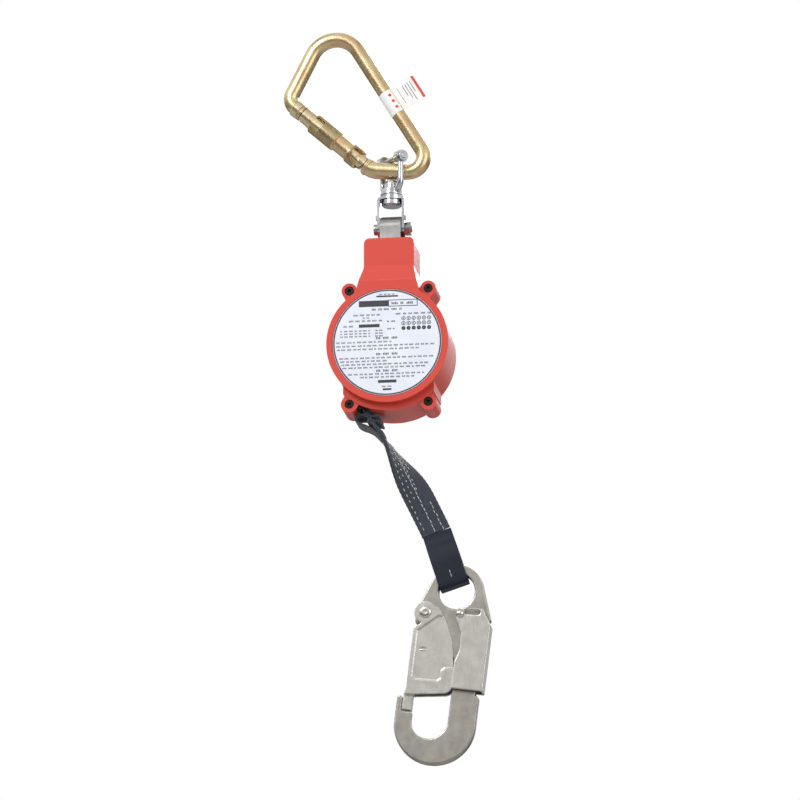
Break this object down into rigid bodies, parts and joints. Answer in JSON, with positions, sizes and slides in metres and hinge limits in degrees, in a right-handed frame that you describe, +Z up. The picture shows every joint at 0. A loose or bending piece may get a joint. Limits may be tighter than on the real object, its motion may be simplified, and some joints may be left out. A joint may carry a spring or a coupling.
{
  "type": "self retracting lifeline",
  "caption": "Webbing fall limiter: locking carabiner and swivel above a moulded reel housing, with a short web end and a double-locking snap hook.",
  "frame": {"origin": "inside of the carabiner's top bend, where it hangs on its anchor", "axes": "+Z up along the hanging unit, front with the label towards -Y, carabiner and hook flat in the XZ plane"},
  "size_m": [0.174, 0.056, 0.6318],
  "materials": {
    "yellow_zinc": "glossy yellow chromate over zinc plate",
    "printed_label": "satin printed film",
    "steel": "machined",
    "bright_plate": "bright zinc plate",
    "stainless_strap": "satin",
    "red_nylon": "satin moulded",
    "black_steel": "black oxide",
    "brass": "turned",
    "friction_lining": "pressed fibre",
    "drum_alloy": "cast",
    "black_plastic": "moulded",
    "webbing": "woven polyester",
    "wear_cloth": "coated cloth",
    "nickel_steel": "satin nickel plate"
  },
  "bodies": {
    "carabiner": {"carabiner_frame": "yellow_zinc", "carabiner_hinge_pin": "yellow_zinc", "carabiner_tag": "printed_label"},
    "carabiner_gate": {"carabiner_gate": "yellow_zinc", "gate_plunger": "steel", "gate_spring": "steel"},
    "lock_sleeve": {"lock_sleeve": "yellow_zinc", "sleeve_spring": "steel"},
    "shackle": {"shackle_bow": "bright_plate", "clevis_pin": "bright_plate", "clevis_nut": "bright_plate", "swivel_stud": "bright_plate", "dome_nut": "bright_plate", "thrust_washers": "bright_plate"},
    "stirrup": {"stirrup": "bright_plate", "cross_bolt": "steel", "cross_nut": "steel", "load_bush": "stainless_strap"},
    "housing": {"load_frame": "stainless_strap", "front_cover": "red_nylon", "rear_cover": "red_nylon", "label_plate": "printed_label", "cover_screws": "black_steel", "cover_inserts": "brass", "shaft_bushes": "brass", "brake_linings": "friction_lining", "ratchet_ring": "steel", "pressure_plate": "steel", "brake_screws": "steel", "spring_case": "steel", "clock_spring": "steel", "web_guide": "black_plastic", "web_feed": "webbing"},
    "drum": {"main_shaft": "steel", "drum_hub": "drum_alloy", "drum_flanges": "steel", "web_roll": "webbing", "web_anchor_pin": "steel", "pawl_carrier": "steel", "pawl_pins": "steel", "shaft_clips": "steel", "pawl_springs": "steel"},
    "pawl_a": {"pawl_a": "steel"},
    "pawl_b": {"pawl_b": "steel"},
    "lifeline": {"web_stop": "webbing", "lifeline_web": "webbing"},
    "web_end": {"wear_sleeve": "wear_cloth"},
    "hook": {"hook_body": "nickel_steel", "hook_rivet": "nickel_steel", "lock_pin": "nickel_steel", "lock_spring": "steel"},
    "hook_gate": {"hook_gate": "nickel_steel", "hook_gate_spring": "steel"},
    "lock_lever": {"lock_lever": "nickel_steel"}
  },
  "joints": [
    {"name": "carabiner_gate_swing", "type": "hinge", "parent": "carabiner", "child": "carabiner_gate", "pos_m": [0.01925, 0, -0.09931], "axis": [0, 1, 0], "range_deg": [0, 24], "stiffness_Nm_per_rad": 0.25, "springref_deg": -20.05},
    {"name": "sleeve_twist", "type": "hinge", "parent": "carabiner_gate", "child": "lock_sleeve", "pos_m": [-0.0283, 0, -0.0574], "axis": [0.7502, 0, -0.6612], "range_deg": [0, 90], "stiffness_Nm_per_rad": 0.03, "springref_deg": -28.65},
    {"name": "shackle_swing", "type": "hinge", "parent": "carabiner", "child": "shackle", "pos_m": [0.0466, 0, -0.11024], "axis": [0.9964, 0, -0.085], "range_deg": [-30, 30]},
    {"name": "swivel_turn", "type": "hinge", "parent": "shackle", "child": "stirrup", "pos_m": [0.0466, 0, -0.1345], "axis": [0, 0, 1], "continuous": true},
    {"name": "housing_tilt", "type": "hinge", "parent": "stirrup", "child": "housing", "pos_m": [0.0466, 0, -0.1605], "axis": [1, 0, 0], "range_deg": [-60, 60]},
    {"name": "drum_spin", "type": "hinge", "parent": "housing", "child": "drum", "pos_m": [0.0466, 0, -0.2653], "axis": [0, -1, 0], "range_deg": [0, 6210], "stiffness_Nm_per_rad": 0.0027, "springref_deg": -9167.32},
    {"name": "pawl_a_swing", "type": "hinge", "parent": "drum", "child": "pawl_a", "pos_m": [0.0616, 0, -0.2653], "axis": [0, 1, 0], "range_deg": [0, 24], "stiffness_Nm_per_rad": 0.002, "springref_deg": -28.65},
    {"name": "pawl_b_swing", "type": "hinge", "parent": "drum", "child": "pawl_b", "pos_m": [0.0316, 0, -0.2653], "axis": [0, 1, 0], "range_deg": [0, 24], "stiffness_Nm_per_rad": 0.002, "springref_deg": -28.65},
    {"name": "lifeline_payout", "type": "slide", "parent": "housing", "child": "lifeline", "axis": [0.4695, 0, -0.8829], "range_m": [0, 3.12]},
    {"name": "web_flex", "type": "hinge", "parent": "lifeline", "child": "web_end", "pos_m": [0.08502, 0, -0.42506], "axis": [0.9511, 0, 0.309], "range_deg": [-45, 45]},
    {"name": "hook_tilt", "type": "hinge", "parent": "web_end", "child": "hook", "pos_m": [0.1011, 0, -0.4735], "axis": [0, 1, 0], "range_deg": [-15, 15]},
    {"name": "hook_gate_swing", "type": "hinge", "parent": "hook", "child": "hook_gate", "pos_m": [0.0753, 0, -0.49078], "axis": [0, -1, 0], "range_deg": [0, 21.5], "stiffness_Nm_per_rad": 0.4, "springref_deg": -20.05, "deforming": ["hook_gate_spring"]},
    {"name": "lock_lever_press", "type": "hinge", "parent": "hook", "child": "lock_lever", "pos_m": [0.10447, 0, -0.49366], "axis": [0, 1, 0], "range_deg": [0, 3], "stiffness_Nm_per_rad": 2, "springref_deg": -5.73, "deforming": ["lock_spring"]}
  ],
  "couplings": [
    {"joint": "lifeline_payout", "follows": "drum_spin", "m_per_rad": 0.0287}
  ]
}
